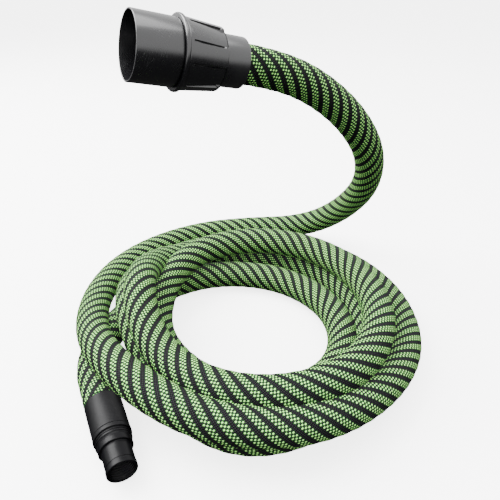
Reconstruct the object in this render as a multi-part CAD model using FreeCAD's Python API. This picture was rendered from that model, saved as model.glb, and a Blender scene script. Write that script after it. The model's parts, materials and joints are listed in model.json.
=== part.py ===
import FreeCAD, Part
import math
import os

from FreeCAD import Vector

# Suction hose with a swivelling extractor connector and a swivelling tool cuff.
# Millimetres, +Z up. The origin lies on the floor, under the middle of the two
# end fittings. Each fitting is built along its own +Z, from the face where the
# hose enters it (0) towards its mouth, and is then put in its place.

# ---- hose ----
HOSE_R = 17.0            # outside radius, over the woven sleeve
HOSE_WALL = 3.5
HOSE_BORE_R = HOSE_R - HOSE_WALL
LINER_R = HOSE_R - 1.6   # the hose without its sleeve, as it enters the cuff

# Route of the rising stretch after it leaves the extractor connector.
RISE_POINTS = [
    (98.1, 111.9, 289.4), (141.8, 131.9, 268), (183.8, 151.9, 232), (215.8, 178.9, 184),
    (225.8, 215.9, 128), (209.8, 253.9, 78), (179.8, 284.9, 40), (139.8, 300.9, 21),
]
RISE_LIFT = 0.3                      # of the hose off the floor where it lands
RISE_END = (94.8, 303.9, HOSE_R + RISE_LIFT)     # the coil begins here

# The coil: how far its strands reach from its middle, and in which direction.
COIL_MIDDLE = (69.8, 77.9)
COIL_LAYERS = 2
TURN_DIRECTIONS = [90, 135, 180, 225, 270, 315, 360, 405]   # degrees, seen from above
TURN_REACH = [
    [224, 210, 176, 158, 164, 169, 184, 187],
    [178, 166, 131, 121, 153, 145, 139, 143],
    [137, 141, 117, 117, 135, 147, 146, 139],
    [128, 114, 103, 96, 107, 119, 109, 96],
]
STEP_REACH = 182.0       # outermost strand beside the landing stretch
STEP_DIRECTION = 68.0

# ---- clearances ----
RUNNING_FIT = 0.05       # radial, between a journal and what turns on it
SEAT_GAP = 0.3           # between neighbouring pieces that don't touch
BAND_GAP = 0.1           # between the hose and the band round it
END_PLAY = 0.1           # along the axis, either side of a retaining ring
GROOVE_DEPTH = 0.8

# ---- hose tails of both fittings ----
NIPPLE_GRIP_LEN = 18.0   # how far a nipple reaches into the hose
NIPPLE_WALL = 2.0
NIPPLE_GAP = 0.2
FLANGE_LEN = 3.0
BAND_LEN = 4.2
BAND_WALL = 0.8

# ---- extractor connector: radii, each built on the one inside it ----
SLEEVE_BORE_R = HOSE_R + BAND_GAP + BAND_WALL + SEAT_GAP
JOURNAL_WALL = 1.7
JOURNAL_R = SLEEVE_BORE_R + JOURNAL_WALL
SLEEVE_R = JOURNAL_R + 1.3
COLLAR_CAVITY_R = JOURNAL_R + 3.1
COLLAR_REAR_R = COLLAR_CAVITY_R + 2.6
COLLAR_FRONT_R = COLLAR_CAVITY_R + 5.2
COLLAR_FLAT_DEPTH = 1.5
COLLAR_GROOVE = 1.2
COLLAR_PADS = 4
NECK_R = COLLAR_CAVITY_R - SEAT_GAP
SPIGOT_R = 26.5          # fits a 53 mm port
SPIGOT_WALL = 2.6
SPIGOT_NECK_WALL = 2.7
STOP_RING_R = SPIGOT_R + 3.4
RING_HEIGHT = 2.5
SPLIT_WIDTH = 3.0

# ---- extractor connector: stations along its axis ----
CONNECTOR_REAR = Vector(66, 95.1, 297)
CONNECTOR_MOUTH = Vector(-19.2, 50.4, 317.2)
CONNECTOR_LEN = (CONNECTOR_MOUTH - CONNECTOR_REAR).Length
HOSE_ENTRY = 8.0         # the hose's end lies this deep inside
SLEEVE_LEN = 22.5
SLEEVE_LIP = 3.0
SLEEVE_ROUND = 3.4
JOURNAL_LEN = 12.0
COLLAR_LEN = 34.5
COLLAR_RIB_LEN = 6.1
PAD_STEP_LEN = 5.0
WASHER_LEN = 1.5
RING_LEN = 1.6
SEAL_LEN = 3.6
STOP_RING_LEN = 3.4
SPIGOT_SHOULDER = 3.5
SLEEVE_END = SLEEVE_LEN + JOURNAL_LEN
COLLAR_REAR = SLEEVE_LEN + SEAT_GAP
COLLAR_FRONT = COLLAR_REAR + COLLAR_LEN
RIB_END = COLLAR_REAR + COLLAR_RIB_LEN
RING_START = RIB_END + WASHER_LEN + 2 * END_PLAY
RING_SLOT_END = RING_START + RING_LEN + END_PLAY
SEAL_START = RING_SLOT_END + SEAT_GAP
NECK_START = SEAL_START + SEAL_LEN + SEAT_GAP
STOP_RING_START = COLLAR_FRONT + SEAT_GAP
SPIGOT_START = STOP_RING_START + STOP_RING_LEN + SEAT_GAP

# ---- tool cuff: radii ----
CUFF_CAVITY_R = LINER_R + BAND_GAP
SHELL_WALL = 1.7
SHELL_R = CUFF_CAVITY_R + SHELL_WALL
SHELL_FRONT_R = SHELL_R - 0.3
INSERT_R = HOSE_BORE_R - 0.6
INSERT_WALL = 1.9
CUFF_BORE_R = INSERT_R - 1.4         # takes a 23 mm tool outlet
SHOULDER_R = SHELL_FRONT_R + 0.2
GROOVE_R = SHOULDER_R - 1.5
RIB_R = GROOVE_R + 0.6
NECK_RING_R = SHOULDER_R - 1.9
POCKET_WALL = 1.2
NOZZLE_REAR_R = NECK_RING_R - 2.2
NOZZLE_FRONT_R = NOZZLE_REAR_R - 0.1
LIP_GROOVE_R = NOZZLE_FRONT_R - 0.4
LIP_R = NOZZLE_FRONT_R + 0.3
SEAL_R = 0.8             # cord radius of the O-ring
CUFF_RING_HEIGHT = 1.4

# ---- tool cuff: stations along its axis ----
CUFF_REAR_XY = (-66.4, -35.8)
CUFF_TURN = 297.3        # heading of the cuff, degrees from +X
CUFF_ENTRY = 12.0        # the hose's end lies this deep inside
SHELL_LEN = 41.2
SHELL_ROUND = 1.2
SHELL_CAVITY_LEN = 16.0
SHOULDER_LEN = 4.2
RIB_OFFSETS = (1.3, 3.9)     # of the two thin ribs, from the shoulder
RIB_LEN = 1.1
RIB_SLOPE = 0.2
NOZZLE_GROOVE_LEN = 6.6
CUFF_RING_LEN = 1.4
INSERT_LIP = 1.6         # beyond the snap ring
NECK_RING_OVERHANG = 0.9
LIP_GROOVE_LEN = 1.7
LIP_LEN = 4.4
NOZZLE_LEN = 21.7
SHOULDER_START = SHELL_LEN + SEAT_GAP
GROOVE_START = SHOULDER_START + SHOULDER_LEN
GROOVE_END = GROOVE_START + NOZZLE_GROOVE_LEN
CUFF_RING_START = GROOVE_END + SEAT_GAP
INSERT_END = CUFF_RING_START + CUFF_RING_LEN + INSERT_LIP
POCKET_END = INSERT_END + 2 * SEAL_R + 2 * BAND_GAP
NECK_RING_END = POCKET_END + NECK_RING_OVERHANG
CUFF_LEN = NECK_RING_END + NOZZLE_LEN
LIP_START = CUFF_LEN - LIP_LEN

# ---- where the coil gives way ----
LANDING_STEP = 6.0       # the coil's end overshoots this far before it is faced
LANDING_MARGIN = 1.0     # beside the stretch that lands against it
TAIL_LEN = 14.0          # hose between the coil and the cuff
CUFF_MARGIN = 1.5        # between the coil and the cuff


def turned(outline):
    """A solid of revolution from (along, radius) points."""
    points = [Vector(radius, 0, along) for along, radius in outline]
    face = Part.Face(Part.makePolygon(points + points[:1]))
    return face.revolve(Vector(0, 0, 0), Vector(0, 0, 1), 360)


def tube(start, end, inner, outer):
    """A plain ring or pipe between two stations."""
    return turned([(start, inner), (start, outer), (end, outer), (end, inner)])


def rounded(shape, along, radius, size):
    """Round the circular edge that lies at this station with this radius."""
    edges = [edge for edge in shape.Edges
             if isinstance(edge.Curve, Part.Circle)
             and abs(edge.Curve.Radius - radius) < 0.01
             and abs(edge.Curve.Center.z - along) < 0.01]
    return shape.makeFillet(size, edges)


def split_ring(start, end, inner, outer):
    """A snap ring: a flat ring with a gap cut through it."""
    gap = Part.makeBox(outer, SPLIT_WIDTH, end - start, Vector(0, -SPLIT_WIDTH / 2, start))
    return tube(start, end, inner, outer).cut(gap)


def placed_along(origin, direction):
    """Placement that takes +Z to a direction, with +Y as near up as it goes."""
    forward = Vector(direction).normalize()
    side = Vector(0, 0, 1).cross(forward).normalize()
    turn = FreeCAD.Rotation(side, forward.cross(side), forward, "ZXY")
    return FreeCAD.Placement(origin, turn)


def save(name, shape, placement=None):
    if placement is not None:
        shape.Placement = placement.multiply(shape.Placement)
    shape.exportStep("parts/" + name + ".step")
    print(name, "volume", round(shape.Volume), "valid", shape.isValid())
    return shape


# ---- hose ----
def rounded_path(points):
    """Straight runs joined by tangent arcs, as large as the runs allow."""
    points = [Vector(*point) for point in points]
    edges = []
    length = 0.0
    here = points[0]
    for before, corner, after in zip(points, points[1:], points[2:]):
        run_in = corner - before
        run_out = after - corner
        turn = run_in.getAngle(run_out)
        cut = 0.45 * min(run_in.Length, run_out.Length)
        radius = cut / math.tan(turn / 2)
        into = Vector(run_in).normalize()
        out = Vector(run_out).normalize()
        arc_start = corner - into * cut
        arc_end = corner + out * cut
        inward = (out - into).normalize()
        middle = corner + inward * radius * (1 / math.cos(turn / 2) - 1)
        edges.append(Part.LineSegment(here, arc_start).toShape())
        edges.append(Part.Arc(arc_start, middle, arc_end).toShape())
        length += edges[-2].Length + edges[-1].Length
        here = arc_end
        print("bend radius", round(radius), "mm, turn", round(math.degrees(turn)), "degrees")
    edges.append(Part.LineSegment(here, points[-1]).toShape())
    length += edges[-1].Length
    return Part.Wire(edges), length


def hose_tube(points):
    """Hose along a route: a pipe with the hose's own wall."""
    path, length = rounded_path(points)
    start = Vector(*points[0])
    heading = Vector(*points[1]) - start
    section = Part.Face([
        Part.Wire(Part.makeCircle(HOSE_R, start, heading)),
        Part.Wire(Part.makeCircle(HOSE_BORE_R, start, heading)),
    ])
    section.validate()
    solid = path.makePipe(section)
    area = math.pi * (HOSE_R ** 2 - HOSE_BORE_R ** 2)
    print("tube length", round(length), "volume / (section x length)",
          round(solid.Volume / (area * length), 4))
    return solid


def hose_stub(start, end):
    """The hose's last straight stretch; its sleeve ends where the cuff begins."""
    return turned([(start, HOSE_BORE_R), (start, HOSE_R), (-SEAT_GAP, HOSE_R),
                   (-SEAT_GAP, LINER_R), (end, LINER_R), (end, HOSE_BORE_R)])


def around_coil(reach, direction):
    turn = math.radians(direction)
    return Vector(COIL_MIDDLE[0] + reach * math.cos(turn),
                  COIL_MIDDLE[1] + reach * math.sin(turn), 0)


def coil_body(cuff_bay, landing_bay):
    """The coil's outer shape: a broad ring, two hoses high."""
    outer = [max(strands) + HOSE_R for strands in zip(*TURN_REACH)]
    inner = [min(strands) - HOSE_R for strands in zip(*TURN_REACH)]
    landing_outside = Vector(RISE_END[0] + LANDING_STEP, RISE_END[1] + HOSE_R, 0)
    rim = [landing_outside]
    rim += [around_coil(reach, way) for reach, way in zip(outer, TURN_DIRECTIONS)]
    rim.append(around_coil(STEP_REACH + HOSE_R, 360 + STEP_DIRECTION))
    rim_curve = Part.BSplineCurve()
    rim_curve.interpolate(rim)
    step_end = Vector(RISE_END[0] + LANDING_STEP, RISE_END[1] - HOSE_R - SEAT_GAP, 0)
    outline = Part.Wire([
        rim_curve.toShape(),
        Part.LineSegment(rim[-1], step_end).toShape(),
        Part.LineSegment(step_end, rim[0]).toShape(),
    ])
    hole_curve = Part.BSplineCurve()
    hole_curve.interpolate(
        Points=[around_coil(reach, way) for reach, way in zip(inner, TURN_DIRECTIONS)],
        PeriodicFlag=True)
    height = Vector(0, 0, COIL_LAYERS * 2 * HOSE_R)
    solid = Part.Face(outline).extrude(height)
    hole = Part.Face(Part.Wire(hole_curve.toShape())).extrude(height)
    return solid.cut(hole).cut(cuff_bay).cut(landing_bay)


def bay(place, half_width, start, end):
    """A square clearance along a piece's own axis."""
    block = Part.makeBox(2 * half_width, 2 * half_width, end - start,
                         Vector(-half_width, -half_width, start))
    block.Placement = place.multiply(block.Placement)
    return block


# ---- extractor connector ----
def swivel_sleeve():
    body = turned([
        (0, HOSE_R + SEAT_GAP), (0, SLEEVE_R), (SLEEVE_LEN, SLEEVE_R),
        (SLEEVE_LEN, JOURNAL_R), (RING_START - END_PLAY, JOURNAL_R),
        (RING_START - END_PLAY, JOURNAL_R - GROOVE_DEPTH),
        (RING_SLOT_END, JOURNAL_R - GROOVE_DEPTH), (RING_SLOT_END, JOURNAL_R),
        (SLEEVE_END, JOURNAL_R), (SLEEVE_END, SLEEVE_BORE_R),
        (SLEEVE_LIP, SLEEVE_BORE_R), (SLEEVE_LIP, HOSE_R + SEAT_GAP),
    ])
    return rounded(body, 0, SLEEVE_R, SLEEVE_ROUND)


def grip_collar():
    """Tapered grip with raised pads, flats between them and a groove each side."""
    journal = JOURNAL_R + RUNNING_FIT
    body = turned([
        (COLLAR_REAR, journal), (COLLAR_REAR, COLLAR_REAR_R),
        (COLLAR_FRONT, COLLAR_FRONT_R), (COLLAR_FRONT, COLLAR_CAVITY_R),
        (RIB_END, COLLAR_CAVITY_R), (RIB_END, journal),
    ])
    taper = math.degrees(math.atan2(COLLAR_FRONT_R - COLLAR_REAR_R, COLLAR_LEN))
    pitch = 360 / COLLAR_PADS
    flat_width = 2 * COLLAR_REAR_R * math.sin(math.radians(pitch / 4))
    flat = Part.makeBox(COLLAR_LEN, flat_width, 2 * COLLAR_LEN,
                        Vector(-COLLAR_FLAT_DEPTH, -flat_width / 2, -COLLAR_LEN / 2))
    flat.rotate(Vector(0, 0, 0), Vector(0, 1, 0), taper)
    flat.translate(Vector(COLLAR_REAR_R, 0, COLLAR_REAR))
    groove = Part.makeBox(COLLAR_LEN, COLLAR_GROOVE, COLLAR_LEN - PAD_STEP_LEN,
                          Vector(COLLAR_REAR_R - COLLAR_GROOVE, -COLLAR_GROOVE / 2,
                                 COLLAR_REAR + PAD_STEP_LEN))
    groove_angle = pitch / 4 + math.degrees(COLLAR_GROOVE / 2 / COLLAR_REAR_R)
    axis = Vector(0, 0, 1)
    cuts = []
    for number in range(COLLAR_PADS):
        middle = pitch * (number + 0.5)
        for tool, angle in ((flat, middle), (groove, middle - groove_angle),
                            (groove, middle + groove_angle)):
            cut = tool.copy()
            cut.rotate(Vector(0, 0, 0), axis, angle)
            cuts.append(cut)
    cuts.append(tube(COLLAR_REAR - PAD_STEP_LEN, COLLAR_REAR + PAD_STEP_LEN,
                     COLLAR_REAR_R - COLLAR_GROOVE / 2, COLLAR_FRONT_R))
    for cut in cuts:
        body = body.cut(cut)
    return body


def spigot():
    bore = SPIGOT_R - SPIGOT_WALL
    neck_bore = NECK_R - SPIGOT_NECK_WALL
    return turned([
        (NECK_START, neck_bore), (NECK_START, NECK_R), (SPIGOT_START, NECK_R),
        (SPIGOT_START, SPIGOT_R), (CONNECTOR_LEN, SPIGOT_R), (CONNECTOR_LEN, bore),
        (SPIGOT_START + SPIGOT_SHOULDER + (bore - neck_bore), bore),
        (SPIGOT_START, neck_bore),
    ])


def nipple(entry, end, flange_r, front_r, front_bore_r):
    """Hose tail: grips the bore of the hose and carries a flange at its end."""
    grip_r = HOSE_BORE_R - NIPPLE_GAP
    return turned([
        (entry - NIPPLE_GRIP_LEN, grip_r - NIPPLE_WALL), (entry - NIPPLE_GRIP_LEN, grip_r),
        (entry, grip_r), (entry, flange_r), (entry + FLANGE_LEN, flange_r),
        (entry + FLANGE_LEN, front_r), (end, front_r), (end, front_bore_r),
        (entry + FLANGE_LEN, grip_r - NIPPLE_WALL),
    ])


def build_connector():
    place = placed_along(CONNECTOR_REAR, CONNECTOR_MOUTH - CONNECTOR_REAR)
    band_r = HOSE_R + BAND_GAP
    groove_r = JOURNAL_R - GROOVE_DEPTH + BAND_GAP
    flange_r = SLEEVE_BORE_R - NIPPLE_GAP
    nipple_r = HOSE_BORE_R + NIPPLE_WALL
    save("swivel_sleeve", swivel_sleeve(), place)
    save("extractor_hose_nipple",
         nipple(HOSE_ENTRY, SLEEVE_END, flange_r, nipple_r, HOSE_BORE_R), place)
    save("extractor_hose_band",
         tube(SLEEVE_LIP + SEAT_GAP, SLEEVE_LIP + SEAT_GAP + BAND_LEN,
              band_r, band_r + BAND_WALL), place)
    save("extractor_retaining_ring",
         split_ring(RING_START, RING_START + RING_LEN, groove_r, groove_r + RING_HEIGHT), place)
    save("slide_washer",
         tube(RIB_END + END_PLAY, RIB_END + END_PLAY + WASHER_LEN,
              JOURNAL_R + SEAT_GAP, COLLAR_CAVITY_R - SEAT_GAP), place)
    save("connector_seal",
         tube(SEAL_START, SEAL_START + SEAL_LEN,
              JOURNAL_R + SEAT_GAP, COLLAR_CAVITY_R - BAND_GAP), place)
    save("grip_collar", grip_collar(), place)
    save("stop_ring",
         tube(STOP_RING_START, STOP_RING_START + STOP_RING_LEN,
              NECK_R + BAND_GAP, STOP_RING_R), place)
    save("extractor_spigot", spigot(), place)
    return place


# ---- tool cuff ----
def cuff_shell():
    body = turned([
        (0, CUFF_CAVITY_R), (0, SHELL_R), (SHELL_LEN, SHELL_FRONT_R),
        (SHELL_LEN, INSERT_R + SEAT_GAP), (SHELL_CAVITY_LEN, INSERT_R + SEAT_GAP),
        (SHELL_CAVITY_LEN, CUFF_CAVITY_R),
    ])
    return rounded(body, 0, SHELL_R, SHELL_ROUND)


def cuff_insert():
    """The cuff's hose tail and journal, with the groove for its ring."""
    body = nipple(CUFF_ENTRY, INSERT_END, CUFF_CAVITY_R - NIPPLE_GAP, INSERT_R,
                  INSERT_R - INSERT_WALL)
    slot = tube(CUFF_RING_START - END_PLAY, CUFF_RING_START + CUFF_RING_LEN + END_PLAY,
                INSERT_R - GROOVE_DEPTH, INSERT_R + GROOVE_DEPTH)
    return body.cut(slot)


def cuff_nozzle():
    journal = INSERT_R + RUNNING_FIT
    pocket_r = NECK_RING_R - POCKET_WALL
    outline = [(SHOULDER_START, journal), (SHOULDER_START, SHOULDER_R),
               (GROOVE_START, SHOULDER_R), (GROOVE_START, GROOVE_R)]
    for offset in RIB_OFFSETS:
        rib = GROOVE_START + offset
        outline += [(rib, GROOVE_R), (rib + RIB_SLOPE, RIB_R),
                    (rib + RIB_LEN - RIB_SLOPE, RIB_R), (rib + RIB_LEN, GROOVE_R)]
    outline += [
        (GROOVE_END, GROOVE_R), (GROOVE_END, NECK_RING_R), (NECK_RING_END, NECK_RING_R),
        (NECK_RING_END, NOZZLE_REAR_R),
        (LIP_START - LIP_GROOVE_LEN, NOZZLE_FRONT_R), (LIP_START - LIP_GROOVE_LEN, LIP_GROOVE_R),
        (LIP_START, LIP_GROOVE_R), (LIP_START, LIP_R), (CUFF_LEN, LIP_R),
        (CUFF_LEN, CUFF_BORE_R), (POCKET_END, CUFF_BORE_R),
        (POCKET_END, pocket_r), (GROOVE_END, pocket_r), (GROOVE_END, journal),
    ]
    return turned(outline)


def build_cuff():
    """The cuff lies on the floor, on the rear of its shell and its shoulder."""
    droop = math.atan2(SHELL_R - SHOULDER_R, GROOVE_START - SHELL_ROUND)
    height = SHELL_R * math.cos(droop) + SHELL_ROUND * math.sin(droop)
    turn = math.radians(CUFF_TURN)
    heading = Vector(math.cos(turn) * math.cos(droop),
                     math.sin(turn) * math.cos(droop), -math.sin(droop))
    rear = Vector(CUFF_REAR_XY[0], CUFF_REAR_XY[1], height)
    place = placed_along(rear, heading)
    ring_r = INSERT_R - GROOVE_DEPTH + BAND_GAP
    save("cuff_shell", cuff_shell(), place)
    save("cuff_insert", cuff_insert(), place)
    save("cuff_retaining_ring",
         split_ring(CUFF_RING_START, CUFF_RING_START + CUFF_RING_LEN,
                    ring_r, ring_r + CUFF_RING_HEIGHT), place)
    save("cuff_seal",
         Part.makeTorus(INSERT_R, SEAL_R, Vector(0, 0, INSERT_END + SEAL_R + BAND_GAP)), place)
    save("cuff_nozzle", cuff_nozzle(), place)
    return place


def build_hose(connector, cuff):
    """The rising stretch, the coil and the tail that runs into the cuff."""
    start = connector.multVec(Vector(0, 0, HOSE_ENTRY))
    rise = hose_tube([tuple(start)] + RISE_POINTS + [RISE_END])
    save("hose_rise", rise)
    save("hose_tail", hose_stub(-TAIL_LEN, CUFF_ENTRY), cuff)
    cuff_bay = bay(cuff, SHELL_R + CUFF_MARGIN, -TAIL_LEN, 2 * CUFF_LEN)
    landing = Vector(*RISE_END)
    faced = placed_along(landing, Vector(*RISE_POINTS[-1]) - landing)
    coil = coil_body(cuff_bay, bay(faced, HOSE_R + LANDING_MARGIN, 0, 2 * HOSE_R))
    save("hose_coil", coil)
    shared = coil.common(rise).Volume
    print("coil shares", round(shared, 2), "mm3 with the rising stretch")


os.makedirs("parts", exist_ok=True)
connector_place = build_connector()
cuff_place = build_cuff()
build_hose(connector_place, cuff_place)
for label, place in (("connector", connector_place), ("cuff", cuff_place)):
    axis = place.Rotation.multVec(Vector(0, 0, 1))
    print(label, "at", [round(v, 4) for v in place.Base], "axis", [round(v, 6) for v in axis])
print("connector length", round(CONNECTOR_LEN, 3), "spigot from", round(SPIGOT_START, 3))
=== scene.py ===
# %% [markdown]
# # A coiled suction hose, built around its CAD frame
#
# The object is the suction hose of a dust extractor: a ribbed hose in a woven
# sleeve, black and green, with a wide swivelling connector for the extractor at one
# end and a small rubber cuff for the power tool at the other. The CAD model holds
# its sizes and its joints. This notebook gives it its looks, one piece at a time.

# %% Load the frame
import json
import math

import bpy
import numpy as np
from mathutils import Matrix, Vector


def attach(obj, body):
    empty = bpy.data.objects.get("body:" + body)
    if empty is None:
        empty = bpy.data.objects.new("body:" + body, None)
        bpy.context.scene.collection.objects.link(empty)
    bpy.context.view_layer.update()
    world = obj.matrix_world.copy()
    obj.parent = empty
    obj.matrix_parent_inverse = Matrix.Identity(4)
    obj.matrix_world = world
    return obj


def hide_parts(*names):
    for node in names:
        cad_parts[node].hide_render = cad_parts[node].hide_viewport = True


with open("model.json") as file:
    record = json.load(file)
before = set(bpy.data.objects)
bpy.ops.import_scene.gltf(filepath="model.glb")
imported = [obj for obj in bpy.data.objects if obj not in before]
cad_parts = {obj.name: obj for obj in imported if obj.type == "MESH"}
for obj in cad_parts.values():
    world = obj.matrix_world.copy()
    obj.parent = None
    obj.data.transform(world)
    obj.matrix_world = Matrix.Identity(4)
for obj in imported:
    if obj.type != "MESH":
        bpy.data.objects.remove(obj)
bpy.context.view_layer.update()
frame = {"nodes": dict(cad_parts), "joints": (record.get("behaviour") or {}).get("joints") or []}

# %% [markdown]
# ## Camera
#
# A coil on the floor reads best from standing height, looking down by about a third
# of a right angle. The lens is a wide one and close by, so the raised connector looks
# large and the back of the coil falls away. The camera comes first, because the hose
# is laid out to suit the view, and every later choice is judged through it.

# %% Put up the camera
CAMERA_AT = (0.0748, -0.3221, 0.366)
LOOK_DOWN = math.radians(32)
SENSOR = 36.0
LENS = 32.256            # millimetres, for the sensor above

camera_data = bpy.data.cameras.new("camera")
camera_data.sensor_width = SENSOR
camera_data.lens = LENS
camera_data.clip_start = 0.01
camera = bpy.data.objects.new("camera", camera_data)
camera.location = CAMERA_AT
camera.rotation_euler = (math.pi / 2 - LOOK_DOWN, 0, 0)
bpy.context.collection.objects.link(camera)
bpy.context.scene.camera = camera
print("camera", CAMERA_AT, "lens", LENS)

# %% [markdown]
# ## The hose's route
#
# A hose is one smooth line of a fixed length. Where it hangs free its points are
# given one by one: out of the connector along its axis, over in a wide bend under its
# own weight, and down to the floor behind the coil. The coil itself is four loose
# turns. Each turn is described by how far it reaches, and how high it lies, in
# eight directions; a loop fills in the points between. Strands that lie on others
# ride one hose higher, and they come down again where nothing is under them.

# %% Points of the stretch that hangs free, and of the tail
MM = 0.001
HOSE_R = 17 * MM
HOSE_BORE_R = 13.5 * MM
LINER_R = 15.3 * MM      # without its sleeve, inside the cuff
CUFF_ENTRY = 8 * MM      # how deep the hose's end lies inside the cuff

RISE = [
    (59.1, 91.5, 298.6), (98.1, 111.9, 289.4), (141.8, 131.9, 268), (183.8, 151.9, 232),
    (215.8, 178.9, 184), (225.8, 215.9, 128), (209.8, 253.9, 78), (179.8, 284.9, 40),
    (139.8, 300.9, 21), (94.8, 303.9, 17.3),
]
TAIL = [
    (-88.4, 47.2, 17), (-89.7, 23.2, 17), (-84.7, -0.3, 17.2), (-75.6, -18, 17.2),
    (-60.9, -46.5, 17.2),
]

# %% The coil: reach and height of each turn, in millimetres
COIL_MIDDLE = (69.8, 77.9)
FIRST_DIRECTION = 90     # degrees; the coil starts at its back and runs to the left
STATION_ANGLE = 45
STEPS_BETWEEN = 3        # points from one station to the next, so 24 in a turn

TURN_REACH = [
    [224, 210, 176, 158, 164, 169, 184, 187],
    [178, 166, 131, 121, 153, 145, 139, 143],
    [137, 141, 117, 117, 135, 147, 146, 139],
    [128, 114, 103, 96, 107, 119, 109, 96],
    [96, 115, 146],
]
TURN_HEIGHT = [
    [17, 19, 33, 53, 45, 31, 17, 17],
    [17, 23, 48, 19, 17, 17, 17, 17],
    [18, 42, 73, 52, 52, 52, 51, 51],
    [51, 48, 23, 17, 17, 17, 17, 17],
    [17, 17, 17],
]


def flowing(values, station, part):
    """A smooth value between two stations, from the four round it."""
    last = len(values) - 1
    a, b, c, d = (values[min(max(station + k, 0), last)] for k in (-1, 0, 1, 2))
    return 0.5 * (2 * b + (c - a) * part + (2 * a - 5 * b + 4 * c - d) * part ** 2
                  + (3 * b - a - 3 * c + d) * part ** 3)


def coil_points():
    """Points along all the coil's turns, from its back round to the tail."""
    reach = sum(TURN_REACH, [])
    height = sum(TURN_HEIGHT, [])
    points = []
    for step in range((len(reach) - 1) * STEPS_BETWEEN + 1):
        station, part = divmod(step, STEPS_BETWEEN)
        part /= STEPS_BETWEEN
        way = math.radians(FIRST_DIRECTION + (station + part) * STATION_ANGLE)
        out = flowing(reach, station, part)
        points.append((COIL_MIDDLE[0] + out * math.cos(way),
                       COIL_MIDDLE[1] + out * math.sin(way),
                       flowing(height, station, part)))
    return points


route = [Vector(p) * MM for p in RISE + coil_points() + TAIL]
print("route points", len(route))

# %% [markdown]
# ## The centreline
#
# The points are the control points of one NURBS spline. Order 3 gives a line whose
# bends are all rounded and which stays close to its points. The sleeve's mesh and its
# pattern both follow points read back from that spline, evenly spaced, so the weave
# keeps the same size along the whole length.

# %% Lay the spline and read it back
RING_STEP = 2.2 * MM     # between two rings of the sleeve's mesh
LEAST_HEIGHT = 17.2 * MM # of the line, so that the sleeve just rests on the floor
LINE_STEPS = 24          # points read back between two control points


def spline_line(name, points, resolution):
    """Points along a NURBS spline through the control points given."""
    curve = bpy.data.curves.new(name, "CURVE")
    curve.dimensions = "3D"
    curve.resolution_u = resolution
    spline = curve.splines.new("NURBS")
    spline.points.add(len(points) - 1)
    for point, place in zip(spline.points, points):
        point.co = (*place, 1)
    spline.order_u = 3
    spline.use_endpoint_u = True
    carrier = bpy.data.objects.new(name, curve)
    line = bpy.data.meshes.new_from_object(carrier)
    found = np.array([v.co for v in line.vertices])
    bpy.data.objects.remove(carrier)
    bpy.data.curves.remove(curve)
    bpy.data.meshes.remove(line)
    return found


def evenly(line, step):
    """The same line with its points evenly spaced, and its length."""
    gaps = np.linalg.norm(np.diff(line, axis=0), axis=1)
    along = np.concatenate([[0], np.cumsum(gaps)])
    count = int(round(along[-1] / step)) + 1
    at = np.linspace(0, along[-1], count)
    return np.stack([np.interp(at, along, line[:, k]) for k in range(3)], axis=1), along[-1]


line = spline_line("hose_line", route, LINE_STEPS)
line[:, 2] = np.maximum(line[:, 2], LEAST_HEIGHT)
centreline, HOSE_LENGTH = evenly(line, RING_STEP)
print("hose length", round(HOSE_LENGTH, 3), "m in", len(centreline), "rings")

# %% [markdown]
# ## The hose's surface
#
# The sleeve is one closed skin: a tube of rings round the centreline, with its cut
# ends turned in over the hose's wall. It could be swept as a bevelled curve, but a
# mesh carries its own record of where each spot lies round and along the hose, and
# the weave is drawn from that. The rings are carried along without twist. Seven broad
# bands of yarn wind round a sleeve like this, and each stands a little proud.

# %% Frames that don't twist along a line
AROUND = 56              # mesh corners round the hose
YARNS = 42               # yarns each way round the sleeve
YARN_PITCH = 2 * math.pi * HOSE_R / YARNS     # along the hose as well as round it
YARNS_IN_BAND = 6
BAND_RELIEF = 0.18 * MM
TURNED_IN = 3            # rings deep that each end is turned in
STRIPS = 7               # rows of the texture map that the hose is laid out in


def unit(rows):
    """The same directions, each of length 1."""
    return rows / np.linalg.norm(rows, axis=1, keepdims=True)


def frames_along(line):
    """Two directions square to the line at each point, carried without twist."""
    forward = unit(np.gradient(line, axis=0))
    side = np.cross([0, 0, 1], forward[0])
    sides = []
    for ahead in forward:
        side = side - ahead * side.dot(ahead)
        side = side / np.linalg.norm(side)
        sides.append(side)
    sides = np.array(sides)
    return sides, np.cross(forward, sides)


def grid_faces(rows, columns, closed=False):
    """Faces of a tube of rows x columns points, closed round, and also end to end."""
    row, column = np.meshgrid(np.arange(rows if closed else rows - 1), np.arange(columns),
                              indexing="ij")
    beyond = (row + 1) % rows
    after = (column + 1) % columns
    faces = np.stack([row * columns + column, row * columns + after,
                      beyond * columns + after, beyond * columns + column], axis=-1)
    return faces.reshape(-1, 4), row.reshape(-1), column.reshape(-1)


def mesh_object(name, points, faces):
    """A smooth-shaded object from its points and faces, put in the scene."""
    mesh = bpy.data.meshes.new(name)
    mesh.from_pydata(points.tolist(), [], faces.tolist())
    mesh.shade_smooth()
    made = bpy.data.objects.new(name, mesh)
    bpy.context.collection.objects.link(made)
    return made


def corner_values(mesh, name, kind, values):
    """Store one value for each face corner."""
    layer = mesh.attributes.new(name, kind, "CORNER")
    layer.data.foreach_set("vector", np.asarray(values, np.float32).ravel())


# %% Build the sleeve
rings = len(centreline)
order = np.concatenate([[TURNED_IN, 0], np.arange(rings), [rings - 1, rings - 1 - TURNED_IN]])
inside = np.zeros(len(order), bool)
inside[:2] = inside[-2:] = True
along = np.linspace(0, HOSE_LENGTH, rings)[order]
turn = np.arange(AROUND) / AROUND

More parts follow.
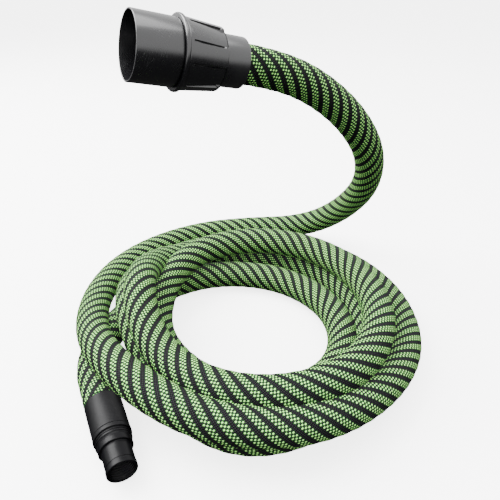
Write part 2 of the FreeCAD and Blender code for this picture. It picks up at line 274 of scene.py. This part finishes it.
band = (turn[None, :] * YARNS - along[:, None] / YARN_PITCH) / YARNS_IN_BAND
radius = HOSE_R + BAND_RELIEF * np.cos(2 * math.pi * (band - 0.25))
radius[along > HOSE_LENGTH - CUFF_ENTRY - RING_STEP / 4] = LINER_R
radius[inside] = HOSE_BORE_R
side, up = (frame_row[order] for frame_row in frames_along(centreline))
angle = 2 * math.pi * turn[None, :, None]
points = (centreline[order][:, None, :]
          + radius[:, :, None] * (np.cos(angle) * side[:, None, :] + np.sin(angle) * up[:, None, :]))

faces, face_row, face_column = grid_faces(len(order), AROUND)
hose = mesh_object("woven_hose", points.reshape(-1, 3), faces)

corner_turn = (face_column[:, None] + np.array([0, 1, 1, 0])) / AROUND
corner_row = face_row[:, None] + np.array([0, 0, 1, 1])
corner_along = along[corner_row]
corner_values(hose.data, "braid", "FLOAT_VECTOR",
              np.stack([corner_turn, corner_along, np.zeros_like(corner_turn)], axis=-1))

rows_in_strip = (len(order) - 1) / STRIPS
strip = np.floor(face_row / rows_in_strip)[:, None]
corner_uv = np.stack([corner_row / rows_in_strip - strip,
                      (strip + 0.01 + 0.98 * corner_turn) / STRIPS], axis=-1)
texture_map = hose.data.uv_layers.new(name="OFBake")
texture_map.data.foreach_set("uv", np.asarray(corner_uv, np.float32).ravel())
print(hose.name, len(hose.data.polygons), "faces")

# %% [markdown]
# ## Material helpers
#
# Every finish here is worked out by nodes from the surface's own place, so nothing
# depends on an image. Small helpers keep the node trees readable: they make a node
# with its inputs, do a sum, mix two colours, carry a value over to another range,
# raise a surface, and start and finish a material.

# %% Helpers for node trees
def add(tree, kind, inputs=None, **settings):
    """A node with its settings, and its inputs set or linked."""
    made = tree.nodes.new("ShaderNode" + kind)
    for setting, value in settings.items():
        setattr(made, setting, value)
    for socket, value in (inputs or {}).items():
        if isinstance(value, bpy.types.NodeSocket):
            tree.links.new(value, made.inputs[socket])
        else:
            made.inputs[socket].default_value = value
    return made


def calc(tree, operation, *values):
    """The result of one sum on numbers or sockets."""
    return add(tree, "Math", dict(enumerate(values)), operation=operation).outputs[0]


def blend(tree, amount, first, second):
    """A colour between two colours."""
    mixer = add(tree, "Mix", data_type="RGBA")
    for socket, value in zip((mixer.inputs[0], mixer.inputs[6], mixer.inputs[7]),
                             (amount, first, second)):
        if isinstance(value, bpy.types.NodeSocket):
            tree.links.new(value, socket)
        else:
            socket.default_value = value if isinstance(value, float) else (*value, 1)
    return mixer.outputs[2]


def noise(tree, scale, detail=2.0, vector=None):
    """Soft random values between 0 and 1, at so many lumps a metre."""
    place = vector or add(tree, "TexCoord").outputs["Object"]
    return add(tree, "TexNoise", {"Vector": place, "Scale": float(scale),
                                  "Detail": detail}).outputs[0]


def between(tree, value, low, high, to_low=0.0, to_high=1.0):
    """The value, with low..high carried over to another range and held there."""
    return add(tree, "MapRange", {0: value, 1: low, 2: high, 3: to_low, 4: to_high}).outputs[0]


def raised(tree, height, distance, strength=1.0, under=None):
    """A surface normal for a height between 0 and 1."""
    inputs = {"Height": height, "Distance": distance, "Strength": strength}
    if under is not None:
        inputs["Normal"] = under
    return add(tree, "Bump", inputs).outputs[0]


def new_material(name):
    """A material with its node tree and its surface shader."""
    material = bpy.data.materials.new(name)
    material.use_nodes = True
    tree = material.node_tree
    return material, tree, tree.nodes["Principled BSDF"]


def finish_with(tree, shader, inputs):
    """Set or link the surface shader's inputs."""
    for socket, value in inputs.items():
        if isinstance(value, bpy.types.NodeSocket):
            tree.links.new(value, shader.inputs[socket])
        else:
            shader.inputs[socket].default_value = value


# %% [markdown]
# ## The woven sleeve's finish
#
# The sleeve is braided: 42 flat yarns wind each way round the hose and pass over and
# under one another in turn. Of the yarns that wind one way, three are fluorescent
# green and the next three black; those the other way are all black. So green bands
# wind round the hose, and within them each green pad shows between black ones. Each
# yarn is a bundle of fine filaments, domed where it passes over. Between the pads,
# where a yarn dives under, the colour is darkened with painted shade, and the crown
# of each pad is painted pale as a painted highlight.

# %% Weave the sleeve
GREEN_YARNS = 3
GREEN_SHARE = 0.58       # of a band's width; the green yarns are a little thicker
FILAMENTS = 5
PAD_HEIGHT = 0.55 * MM
FILAMENT_HEIGHT = 0.05 * MM
# The crown colours are painted highlights that pale the middle of each pad; the rim colours are the
# yarns' own.
GREEN_RIM, GREEN_CROWN_HIGHLIGHT = (0.014, 0.21, 0.028), (0.50, 0.88, 0.27)
GREEN_WORN = (0.24, 0.55, 0.17)
BLACK_RIM, BLACK_CROWN_HIGHLIGHT = (0.002, 0.0025, 0.0025), (0.016, 0.0165, 0.018)
# Painted shade: the colours between the pads, near black in the black bands and dark green in the
# green ones, where a yarn dives under.
CREVICE_SHADE_BLACK, CREVICE_SHADE_GREEN = (0.001, 0.001, 0.001), (0.004, 0.06, 0.006)


def widened(tree, count):
    """Number the yarns so that the green ones of each band are wider than the black."""
    band = calc(tree, "DIVIDE", count, float(YARNS_IN_BAND))
    whole = calc(tree, "FLOOR", band)
    part = calc(tree, "FRACT", band)
    green = between(tree, part, 0.0, GREEN_SHARE, 0.0, float(GREEN_YARNS))
    black = between(tree, part, GREEN_SHARE, 1.0, 0.0, float(YARNS_IN_BAND - GREEN_YARNS))
    number = calc(tree, "ADD", green, black)
    return calc(tree, "ADD", calc(tree, "MULTIPLY", whole, float(YARNS_IN_BAND)), number)


def woven_sleeve():
    """The braid's finish, worked out from how far round and along the hose a spot lies."""
    material, tree, shader = new_material("woven_sleeve")
    braid = add(tree, "Attribute", attribute_name="braid")
    round_and_along = add(tree, "SeparateXYZ", {0: braid.outputs["Vector"]})
    round_it = calc(tree, "MULTIPLY", round_and_along.outputs[0], YARNS)
    along_it = calc(tree, "DIVIDE", round_and_along.outputs[1], YARN_PITCH)
    one_way = widened(tree, calc(tree, "SUBTRACT", round_it, along_it))
    other_way = calc(tree, "ADD", round_it, along_it)

    one_number = calc(tree, "FLOOR", one_way)
    other_number = calc(tree, "FLOOR", other_way)
    across_one = calc(tree, "FRACT", one_way)
    across_other = calc(tree, "FRACT", other_way)
    over = calc(tree, "COMPARE",
                calc(tree, "FLOORED_MODULO", calc(tree, "ADD", one_number, other_number), 2.0),
                0.0, 0.5)
    in_band = calc(tree, "LESS_THAN",
                   calc(tree, "FLOORED_MODULO", one_number, float(YARNS_IN_BAND)),
                   GREEN_YARNS - 0.5)
    green = calc(tree, "MULTIPLY", over, in_band)

    def pad(across):
        """How high a pad stands: 1 at the yarn's middle and 0 at its edges."""
        off = calc(tree, "MULTIPLY", calc(tree, "SUBTRACT", across, 0.5), 2.0)
        return calc(tree, "SUBTRACT", 1.0, calc(tree, "POWER", calc(tree, "ABSOLUTE", off), 2.6))

    crown = calc(tree, "MULTIPLY", pad(across_one), pad(across_other))
    height = calc(tree, "POWER", calc(tree, "MAXIMUM", crown, 0.0), 0.6)
    own_across = add(tree, "Mix", {0: over, 2: across_other, 3: across_one}).outputs[0]
    filament = calc(tree, "PINGPONG", calc(tree, "MULTIPLY", own_across, FILAMENTS), 0.5)

    wear = noise(tree, 14, 3.0)
    grain = noise(tree, 900, 2.0)
    # Painted highlight: the colour pales towards the crown of each pad, in green and black yarns
    # alike, with some random grain.
    crown_highlight = between(tree, calc(tree, "ADD", height, calc(tree, "MULTIPLY", grain, 0.3)),
                   0.70, 1.12)
    green_with_highlight_and_wear = blend(tree, crown_highlight, GREEN_RIM, GREEN_CROWN_HIGHLIGHT)
    green_with_highlight_and_wear = blend(tree, between(tree, wear, 0.35, 0.8, 0.0, 0.15), green_with_highlight_and_wear,
                      GREEN_WORN)
    black_with_highlight = blend(tree, crown_highlight, BLACK_RIM, BLACK_CROWN_HIGHLIGHT)
    yarn_with_highlight = blend(tree, green, black_with_highlight, green_with_highlight_and_wear)
    # Painted shade: between the pads, where a yarn dives under, the colour darkens to near black, or
    # to dark green in a green band.
    under = blend(tree, in_band, CREVICE_SHADE_BLACK, CREVICE_SHADE_GREEN)
    out_of_crevice_shade = between(tree, height, 0.05, 0.36)
    colour = blend(tree, out_of_crevice_shade, under, yarn_with_highlight)

    normal = raised(tree, filament, FILAMENT_HEIGHT, 0.5)
    normal = raised(tree, height, PAD_HEIGHT, 0.9, normal)
    finish_with(tree, shader, {
        "Base Color": colour,
        "Roughness": between(tree, calc(tree, "ADD", height, grain), 0.4, 1.6, 0.75, 0.42),
        "Normal": normal,
        "Specular IOR Level": 0.06,
    })
    return material


hose.data.materials.append(woven_sleeve())
hose.visible_glossy = False            # keeps green out of the glossy black plastic
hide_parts("hose_rise", "hose_coil", "hose_tail")
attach(hose, "hose")
joints = {joint["name"]: joint for joint in frame["joints"]}
print("sleeve woven:", YARNS, "yarns each way,", round(YARN_PITCH / MM, 2), "mm apart")

# %% [markdown]
# ## Turned and moulded pieces
#
# Both fittings are mouldings made in round tools, so each piece is an outline swept
# round the fitting's axis: outside from rear to mouth, then back along the inside.
# Each corner has the small rounding that a tool leaves. A piece that isn't plainly
# round, such as the grip, has its radius worked out again at every angle.

# %% Tools for turned pieces
SEGMENTS = 128
ROUND_STEPS = 5
SMOOTH_UNDER = math.radians(32)

axes = {name: (Vector(joint["pos_m"]), Vector(joint["axis"]).normalized())
        for name, joint in joints.items()}


def rounded_outline(corners):
    """Points of a closed outline of (along, radius, rounding) corners, in metres."""
    points = []
    for number, (along_it, radius, rounding) in enumerate(corners):
        here = np.array([along_it, radius], float)
        before = np.array(corners[number - 1][:2], float) - here
        after = np.array(corners[(number + 1) % len(corners)][:2], float) - here
        if not rounding:
            points.append(here)
            continue
        room = 0.45 * min(np.linalg.norm(before), np.linalg.norm(after))
        before, after = before / np.linalg.norm(before), after / np.linalg.norm(after)
        half = 0.5 * math.acos(np.clip(before.dot(after), -1, 1))
        cut = min(rounding / math.tan(half), room)
        for t in np.linspace(0, 1, ROUND_STEPS):
            points.append(here + (1 - t) ** 2 * cut * before + t ** 2 * cut * after)
    return np.array(points) * MM


def divided(outline, step):
    """The same outline with more points on its long edges."""
    points = []
    for here, after in zip(outline, np.roll(outline, -1, axis=0)):
        count = max(1, int(np.ceil(np.linalg.norm(after - here) / step)))
        points += [here + (after - here) * k / count for k in range(count)]
    return np.array(points)


def place_in(joint, along_it, radius, angle):
    """Points of the row frame for places given along, out from and round a joint's axis."""
    origin, forward = axes[joint]
    side = Vector((0, 0, 1)).cross(forward).normalized()
    up = forward.cross(side)
    out = np.cos(angle)[..., None] * np.array(side) + np.sin(angle)[..., None] * np.array(up)
    return np.array(origin) + along_it[..., None] * np.array(forward) + radius[..., None] * out


def turned(name, joint, corners, shape=None, step=None, segments=SEGMENTS):
    """A piece swept round a joint's axis. shape changes its radius at each angle."""
    outline = rounded_outline(corners)
    if step:
        outline = divided(outline, step)
    angle = np.arange(segments) * 2 * math.pi / segments
    along_it, radius, angle = np.broadcast_arrays(outline[:, :1], outline[:, 1:], angle)
    if shape:
        radius = shape(along_it, radius, angle)
    points = place_in(joint, along_it, radius, angle)
    piece = mesh_object(name, points.reshape(-1, 3), grid_faces(len(outline), segments, True)[0])
    piece.data.set_sharp_from_angle(angle=SMOOTH_UNDER)
    return piece


def fitted(piece, node, body, material):
    """Give a piece its finish, the CAD node it stands for and the body it rides."""
    piece.data.materials.append(material)
    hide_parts(node)
    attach(piece, body)
    print(piece.name, len(piece.data.polygons), "faces for", node)


def ramp(value, low, high):
    """0 below low, 1 above high and smooth between."""
    t = np.clip((value - low) / (high - low), 0, 1)
    return t * t * (3 - 2 * t)


# %% [markdown]
# ## Moulded plastic and rubber
#
# The extractor connector is a hard black plastic with a half gloss. What tells it
# from paint is small: the fine grain of the mould, a slow waviness where the plastic
# shrank, a few hairline scuffs, and dust that dulls it in patches. The tool cuff is a
# soft rubber. It is matt, takes a powdery bloom, and has a coarser grain.

# %% Plastic and rubber
def scuffs(tree, scale, low, high):
    """Thin, broken scratches: where a stretched noise crosses its middle value."""
    place = add(tree, "TexCoord").outputs["Object"]
    stretched = add(tree, "Mapping", {"Vector": place, "Rotation": (0.5, 0.9, 0.3),
                                      "Scale": (1.0, 7.0, 1.0)}).outputs[0]
    line = calc(tree, "ABSOLUTE", calc(tree, "SUBTRACT", noise(tree, scale, 4.0, stretched), 0.5))
    here = between(tree, noise(tree, scale / 3), low, high)
    return calc(tree, "MULTIPLY", between(tree, line, 0.0, 0.012, 1.0, 0.0), here)


def moulded(name, colour, roughness, grain, specular):
    """A moulded surface. roughness is its (glossiest, dullest), grain its height in mm."""
    material, tree, shader = new_material(name)
    dust = noise(tree, 22, 4.0)
    scuff = scuffs(tree, 90, 0.5, 0.68)
    dusty = between(tree, dust, 0.45, 0.75, 0.0, 0.12)
    base = blend(tree, dusty, colour, tuple(0.03 + 0.7 * c for c in colour))
    base = blend(tree, calc(tree, "MULTIPLY", scuff, 0.15), base, (0.10, 0.10, 0.105))
    rough = between(tree, dust, 0.3, 0.75, *roughness)
    normal = raised(tree, noise(tree, 60, 2.0), 0.3 * MM, 0.25)
    normal = raised(tree, noise(tree, 2600, 3.0), grain * MM, 0.6, normal)
    finish_with(tree, shader, {
        "Base Color": base,
        "Roughness": calc(tree, "ADD", rough, calc(tree, "MULTIPLY", scuff, 0.2)),
        "Normal": normal,
        "Specular IOR Level": specular,
    })
    return material


black_plastic = moulded("black_moulding", (0.004, 0.004, 0.005), (0.20, 0.32), 0.006, 0.9)
grey_plastic = moulded("grey_moulding", (0.20, 0.20, 0.21), (0.40, 0.60), 0.05, 0.5)
cuff_rubber = moulded("cuff_rubber", (0.0015, 0.0015, 0.002), (0.30, 0.46), 0.03, 0.11)
seal_rubber = moulded("seal_rubber", (0.02, 0.02, 0.02), (0.35, 0.55), 0.04, 0.5)

# %% [markdown]
# ## Extractor connector
#
# The hose screws into the swivel sleeve. The grip turns on it, and carries the stop
# ring and the spigot, the wide tube that plugs into the extractor. The grip is the
# piece with the most shape: four raised pads for the fingers, a groove down each side
# of a pad, and between them scoops that deepen towards the hose, so that a hand can
# pull. Pads on the sides are narrow, and those above and below are broad.

# %% Swivel sleeve, stop ring and spigot
CONNECTOR = "connector_swivel"
SLEEVE_R, SLEEVE_HOLE_R, SLEEVE_LEN = 21.2, 17.3, 22.1
JOURNAL_R, JOURNAL_BORE_R, JOURNAL_TO = 19.9, 18.2, 34.5
RING_SLOT = (30.5, 32.3, 19.1)         # from, to and bottom radius of the snap ring's slot
RUNNING_FIT, SEAT_GAP = 0.05, 0.3      # round a journal, and between parts that don't touch
COLLAR_FROM, COLLAR_RIB_TO, COLLAR_TO = 23.2, 28.9, 57.3
COLLAR_REAR_R, COLLAR_FRONT_R, COLLAR_BORE_R = 25.6, 28.2, 23.0
STOP_FROM, STOP_TO, STOP_R = 57.6, 61.0, 29.9
NECK_FROM, NECK_R, NECK_BORE_R = 36.5, 22.7, 20.0
SPIGOT_FROM, SPIGOT_TO, SPIGOT_R, SPIGOT_BORE_R = 61.3, 98.312, 26.5, 23.9
MOUTH_LEN, MOUTH_R = 14.0, 25.2        # the wider bore that thins the wall at the mouth

swivel_sleeve = turned("swivel_sleeve_shape", CONNECTOR, [
    (0, SLEEVE_HOLE_R, 0.3), (0, SLEEVE_R, 3.4), (SLEEVE_LEN, SLEEVE_R, 0.9),
    (SLEEVE_LEN, JOURNAL_R, 0), (RING_SLOT[0], JOURNAL_R, 0), (RING_SLOT[0], RING_SLOT[2], 0),
    (RING_SLOT[1], RING_SLOT[2], 0), (RING_SLOT[1], JOURNAL_R, 0), (JOURNAL_TO, JOURNAL_R, 0.4),
    (JOURNAL_TO, JOURNAL_BORE_R, 0), (3, JOURNAL_BORE_R, 0), (3, SLEEVE_HOLE_R, 0),
])
fitted(swivel_sleeve, "swivel_sleeve", "hose", black_plastic)

stop_ring = turned("stop_ring_shape", CONNECTOR, [
    (STOP_FROM, NECK_R + 0.1, 0), (STOP_FROM, STOP_R, 1.2), (STOP_TO, STOP_R, 1.2),
    (STOP_TO, NECK_R + 0.1, 0),
])
fitted(stop_ring, "stop_ring", "extractor_connector", black_plastic)

spigot = turned("spigot_shape", CONNECTOR, [
    (NECK_FROM, NECK_BORE_R, 0), (NECK_FROM, NECK_R, 0), (SPIGOT_FROM, NECK_R, 0),
    (SPIGOT_FROM, SPIGOT_R, 0.7), (SPIGOT_TO, SPIGOT_R, 0.5), (SPIGOT_TO, MOUTH_R, 0.3),
    (SPIGOT_TO - MOUTH_LEN, MOUTH_R, 0.5), (SPIGOT_TO - MOUTH_LEN - 1, SPIGOT_BORE_R, 0.3),
    (SPIGOT_FROM + 7.4, SPIGOT_BORE_R, 2.0), (SPIGOT_FROM, NECK_BORE_R, 0),
], segments=192)
fitted(spigot, "extractor_spigot", "extractor_connector", black_plastic)

# %% Grip collar
SIDE_PAD = math.radians(15)            # half the width of a pad
BROAD_PAD = math.radians(28)
GROOVE = math.radians(3.8)
GROOVE_DEPTH = 1.7 * MM
GROOVE_FROM, GROOVE_TO = 26.0 * MM, 54.0 * MM
SCOOP_DEPTH = 2.0 * MM
EDGE = math.radians(1.0)               # over which a pad's side falls
PAD_TURN = math.radians(10)            # how far the pads sit turned on the grip
LEAST_WALL = 0.6 * MM
OUTSIDE_R = (COLLAR_BORE_R + 1.2) * MM # what lies beyond it is on the grip's outside


def gripped(along_it, radius, angle):
    """The grip's radius: pads, the grooves beside them and the scoops between."""
    angle = angle - PAD_TURN
    quarter = np.round(angle / (math.pi / 2))
    off_middle = np.abs(angle - quarter * math.pi / 2)
    half = np.where(quarter % 2 == 0, SIDE_PAD, BROAD_PAD)
    past_pad = off_middle - half
    groove = ramp(past_pad, 0, EDGE) * (1 - ramp(past_pad, GROOVE, GROOVE + EDGE))
    groove = groove * ramp(along_it, GROOVE_FROM, GROOVE_FROM + MM)
    groove = groove * (1 - ramp(along_it, GROOVE_TO - MM, GROOVE_TO))
    scoop = ramp(past_pad, 0.6 * GROOVE, GROOVE + EDGE)
    scoop = scoop * np.clip((GROOVE_TO - along_it) / (GROOVE_TO - COLLAR_FROM * MM), 0, 1)
    outside = radius > OUTSIDE_R
    cut = radius - GROOVE_DEPTH * groove - SCOOP_DEPTH * scoop
    return np.where(outside, np.maximum(cut, COLLAR_BORE_R * MM + LEAST_WALL), radius)


grip = turned("grip_shape", CONNECTOR, [
    (COLLAR_FROM, JOURNAL_R + RUNNING_FIT, 0), (COLLAR_FROM, COLLAR_REAR_R, 1.0),
    (COLLAR_TO, COLLAR_FRONT_R, 0.8), (COLLAR_TO, COLLAR_BORE_R, 0),
    (COLLAR_RIB_TO, COLLAR_BORE_R, 0), (COLLAR_RIB_TO, JOURNAL_R + RUNNING_FIT, 0),
], gripped, 0.6 * MM, 360)
fitted(grip, "grip_collar", "extractor_connector", black_plastic)

# %% [markdown]
# ## Tool cuff
#
# The cuff is moulded in rubber so that it stretches over a tool's outlet. Its rear
# half holds the hose, and its front half turns. Between them are a shoulder, a groove
# with two thin ribs, and a neck ring. The mouth ends in a rounded lip with a groove
# behind it, and its bore has a shallow thread for tools that have one to match.

# %% Cuff shell and nozzle
CUFF = "cuff_swivel"
SHELL_R, SHELL_FRONT_R, SHELL_LEN = 17.2, 16.9, 41.2
SHELL_FROM = 4.0                       # where the visible shell's rear end lies
SHELL_CAVITY_R, SHELL_CAVITY_LEN = 15.5, 16
INSERT_R = 12.9
SHOULDER = (41.5, 45.7, 17.1)          # from, to and radius of each ring
NECK_RING = (52.3, 58.3, 15.2)
GROOVE_R, RIB_R, RIBS = 15.6, 16.2, (47.0, 49.6)
NOZZLE_REAR_R, NOZZLE_FRONT_R = 13.0, 12.9
LIP_GROOVE = (73.9, 75.6, 12.5)
CUFF_LEN, LIP_R, CUFF_BORE_R = 80.0, 13.2, 11.5
POCKET_END, POCKET_R = 57.4, 14.0
THREAD_PITCH = 2.4 * MM
THREAD_DEPTH = 0.9 * MM
THREAD_FROM, THREAD_TO = 60 * MM, 79.2 * MM
THREAD_FADE = 1.4 * MM                 # over which it runs out at the mouth

cuff_shell = turned("cuff_shell_shape", CUFF, [
    (SHELL_FROM, SHELL_CAVITY_R, 0.4), (SHELL_FROM, SHELL_R, 1.6),
    (SHELL_LEN, SHELL_FRONT_R, 0.5),
    (SHELL_LEN, INSERT_R + SEAT_GAP, 0), (SHELL_CAVITY_LEN, INSERT_R + SEAT_GAP, 0),
    (SHELL_CAVITY_LEN, SHELL_CAVITY_R, 0),
])
fitted(cuff_shell, "cuff_shell", "hose", cuff_rubber)


def threaded(along_it, radius, angle):
    """Cut a shallow round thread into the bore."""
    wave = 0.5 - 0.5 * np.cos(2 * math.pi * along_it / THREAD_PITCH + angle)
    in_bore = (radius < (CUFF_BORE_R + RUNNING_FIT) * MM) & (along_it > THREAD_FROM)
    fade = ramp(along_it, THREAD_FROM, THREAD_FROM + THREAD_PITCH)
    fade = fade * (1 - ramp(along_it, THREAD_TO - THREAD_FADE, THREAD_TO))
    return radius + in_bore * fade * wave * THREAD_DEPTH


nozzle_outline = [
    (SHOULDER[0], INSERT_R + RUNNING_FIT, 0), (SHOULDER[0], SHOULDER[2], 0.7),
    (SHOULDER[1], SHOULDER[2], 1.3), (SHOULDER[1], GROOVE_R, 0.3),
]
for rib in RIBS:
    nozzle_outline += [(rib, GROOVE_R, 0.2), (rib + 0.2, RIB_R, 0.3), (rib + 0.9, RIB_R, 0.3),
                       (rib + 1.1, GROOVE_R, 0.2)]
nozzle_outline += [
    (NECK_RING[0], GROOVE_R - 0.6, 0.3), (NECK_RING[0] + 1.2, NECK_RING[2], 1.2),
    (NECK_RING[1], NECK_RING[2], 1.4), (NECK_RING[1], NOZZLE_REAR_R, 0.8),
    (LIP_GROOVE[0], NOZZLE_FRONT_R, 0.5),
    (LIP_GROOVE[0], LIP_GROOVE[2], 0.3), (LIP_GROOVE[1], LIP_GROOVE[2], 0.3),
    (LIP_GROOVE[1], LIP_R, 0.8), (CUFF_LEN, LIP_R, 1.1), (CUFF_LEN, CUFF_BORE_R, 0.6),
    (POCKET_END, CUFF_BORE_R, 0), (POCKET_END, POCKET_R, 0), (NECK_RING[0], POCKET_R, 0),
    (NECK_RING[0], INSERT_R + RUNNING_FIT, 0),
]
nozzle = turned("nozzle_shape", CUFF, nozzle_outline, threaded, 0.4 * MM, 144)
fitted(nozzle, "cuff_nozzle", "tool_nozzle", cuff_rubber)

# %% [markdown]
# ## Inner pieces
#
# The tails that grip the hose, the crimped bands, the snap rings, the washer and the
# seals are the CAD's own. They show only through the two mouths and when a fitting is
# taken apart, so they keep their plain shapes and get the finish of what they are
# made of: nylon, rubber, rolled aluminium and spring steel.

# %% Metals, and a finish for each inner piece
def rolled_metal(name, colour, roughness, line_scale):
    """Metal with the fine lines that rolling leaves."""
    material, tree, shader = new_material(name)
    place = add(tree, "TexCoord").outputs["Object"]
    drawn = add(tree, "Mapping", {"Vector": place, "Scale": (0.06, 1.0, 1.0)}).outputs[0]
    lines = noise(tree, line_scale, 4.0, drawn)
    stain = noise(tree, 120, 3.0)
    colour = blend(tree, between(tree, stain, 0.4, 0.8, 0.0, 0.5), colour,
                   tuple(0.55 * c for c in colour))
    finish_with(tree, shader, {
        "Base Color": colour,
        "Metallic": 1.0,
        "Roughness": between(tree, calc(tree, "ADD", lines, stain), 0.7, 1.3, *roughness),
        "Normal": raised(tree, lines, 0.03 * MM, 0.6),
    })
    return material


aluminium = rolled_metal("band_metal", (0.75, 0.75, 0.77), (0.25, 0.45), 2200)
spring_steel = rolled_metal("spring_metal", (0.42, 0.43, 0.45), (0.22, 0.40), 3000)
INNER = {
    "extractor_hose_nipple": grey_plastic, "cuff_insert": grey_plastic,
    "slide_washer": grey_plastic, "connector_seal": seal_rubber, "cuff_seal": seal_rubber,
    "extractor_hose_band": aluminium,
    "extractor_retaining_ring": spring_steel, "cuff_retaining_ring": spring_steel,
}
for name, material in INNER.items():
    mesh = frame["nodes"][name].data
    mesh.materials.clear()
    mesh.materials.append(material)
print(len(INNER), "inner pieces finished")

# %% [markdown]
# ## Light and floor
#
# Black plastic shows its shape only by what it mirrors. So the hose stands under a
# pale dome that stops at the horizon: the upper side of each fitting carries a broad
# soft reflection, and the underside stays dark. A large lamp from the upper left
# brightens one side of every strand, and a weaker one overhead fills in. The floor is
# near white and takes a faint shadow, but it isn't mirrored in the plastic.

# %% Light it
SKY = 2.1                # strength of the dome
BELOW_HORIZON = 0.06
HORIZON = (-0.12, 0.10)  # over which the dome fades, as the sine of the height
FLOOR = 12.0             # half the floor's side, in metres
FLOOR_GLOW = 3.6


def area_light(name, place, target, side, watts):
    """A square lamp that faces the target."""
    data = bpy.data.lights.new(name, "AREA")
    data.shape = "SQUARE"
    data.size = side
    data.energy = watts
    lamp = bpy.data.objects.new(name, data)
    lamp.location = place
    lamp.rotation_euler = (Vector(target) - Vector(place)).to_track_quat("-Z", "Y").to_euler()
    bpy.context.collection.objects.link(lamp)
    print("lamp", name, watts, "W")


area_light("overhead", (0.1, 0.2, 2.2), (0.05, 0.1, 0.0), 2.0, 60)
area_light("key", (-1.3, 0.5, 1.6), (0.05, 0.1, 0.05), 1.6, 150)

world = bpy.data.worlds.new("studio")
world.use_nodes = True
sky = world.node_tree
looking = add(sky, "SeparateXYZ", {0: add(sky, "TexCoord").outputs["Generated"]}).outputs["Z"]
dome = between(sky, looking, *HORIZON, BELOW_HORIZON, SKY)
sky.links.new(dome, sky.nodes["Background"].inputs["Strength"])
sky.nodes["Background"].inputs["Color"].default_value = (1, 1, 1, 1)
bpy.context.scene.world = world

# %% Lay the floor
floor_mesh = bpy.data.meshes.new("floor")
corners = [(-FLOOR, -FLOOR, 0), (FLOOR, -FLOOR, 0), (FLOOR, FLOOR, 0), (-FLOOR, FLOOR, 0)]
floor_mesh.from_pydata(corners, [], [(0, 1, 2, 3)])
floor = bpy.data.objects.new("floor", floor_mesh)
bpy.context.collection.objects.link(floor)
floor_material, floor_tree, floor_shader = new_material("floor")
finish_with(floor_tree, floor_shader, {
    "Base Color": (0.92, 0.92, 0.92, 1), "Roughness": 0.6,
    "Emission Color": (1, 1, 1, 1), "Emission Strength": FLOOR_GLOW,
})
floor_mesh.materials.append(floor_material)
floor.visible_diffuse = False
floor.visible_glossy = False
print("floor", 2 * FLOOR, "m wide")
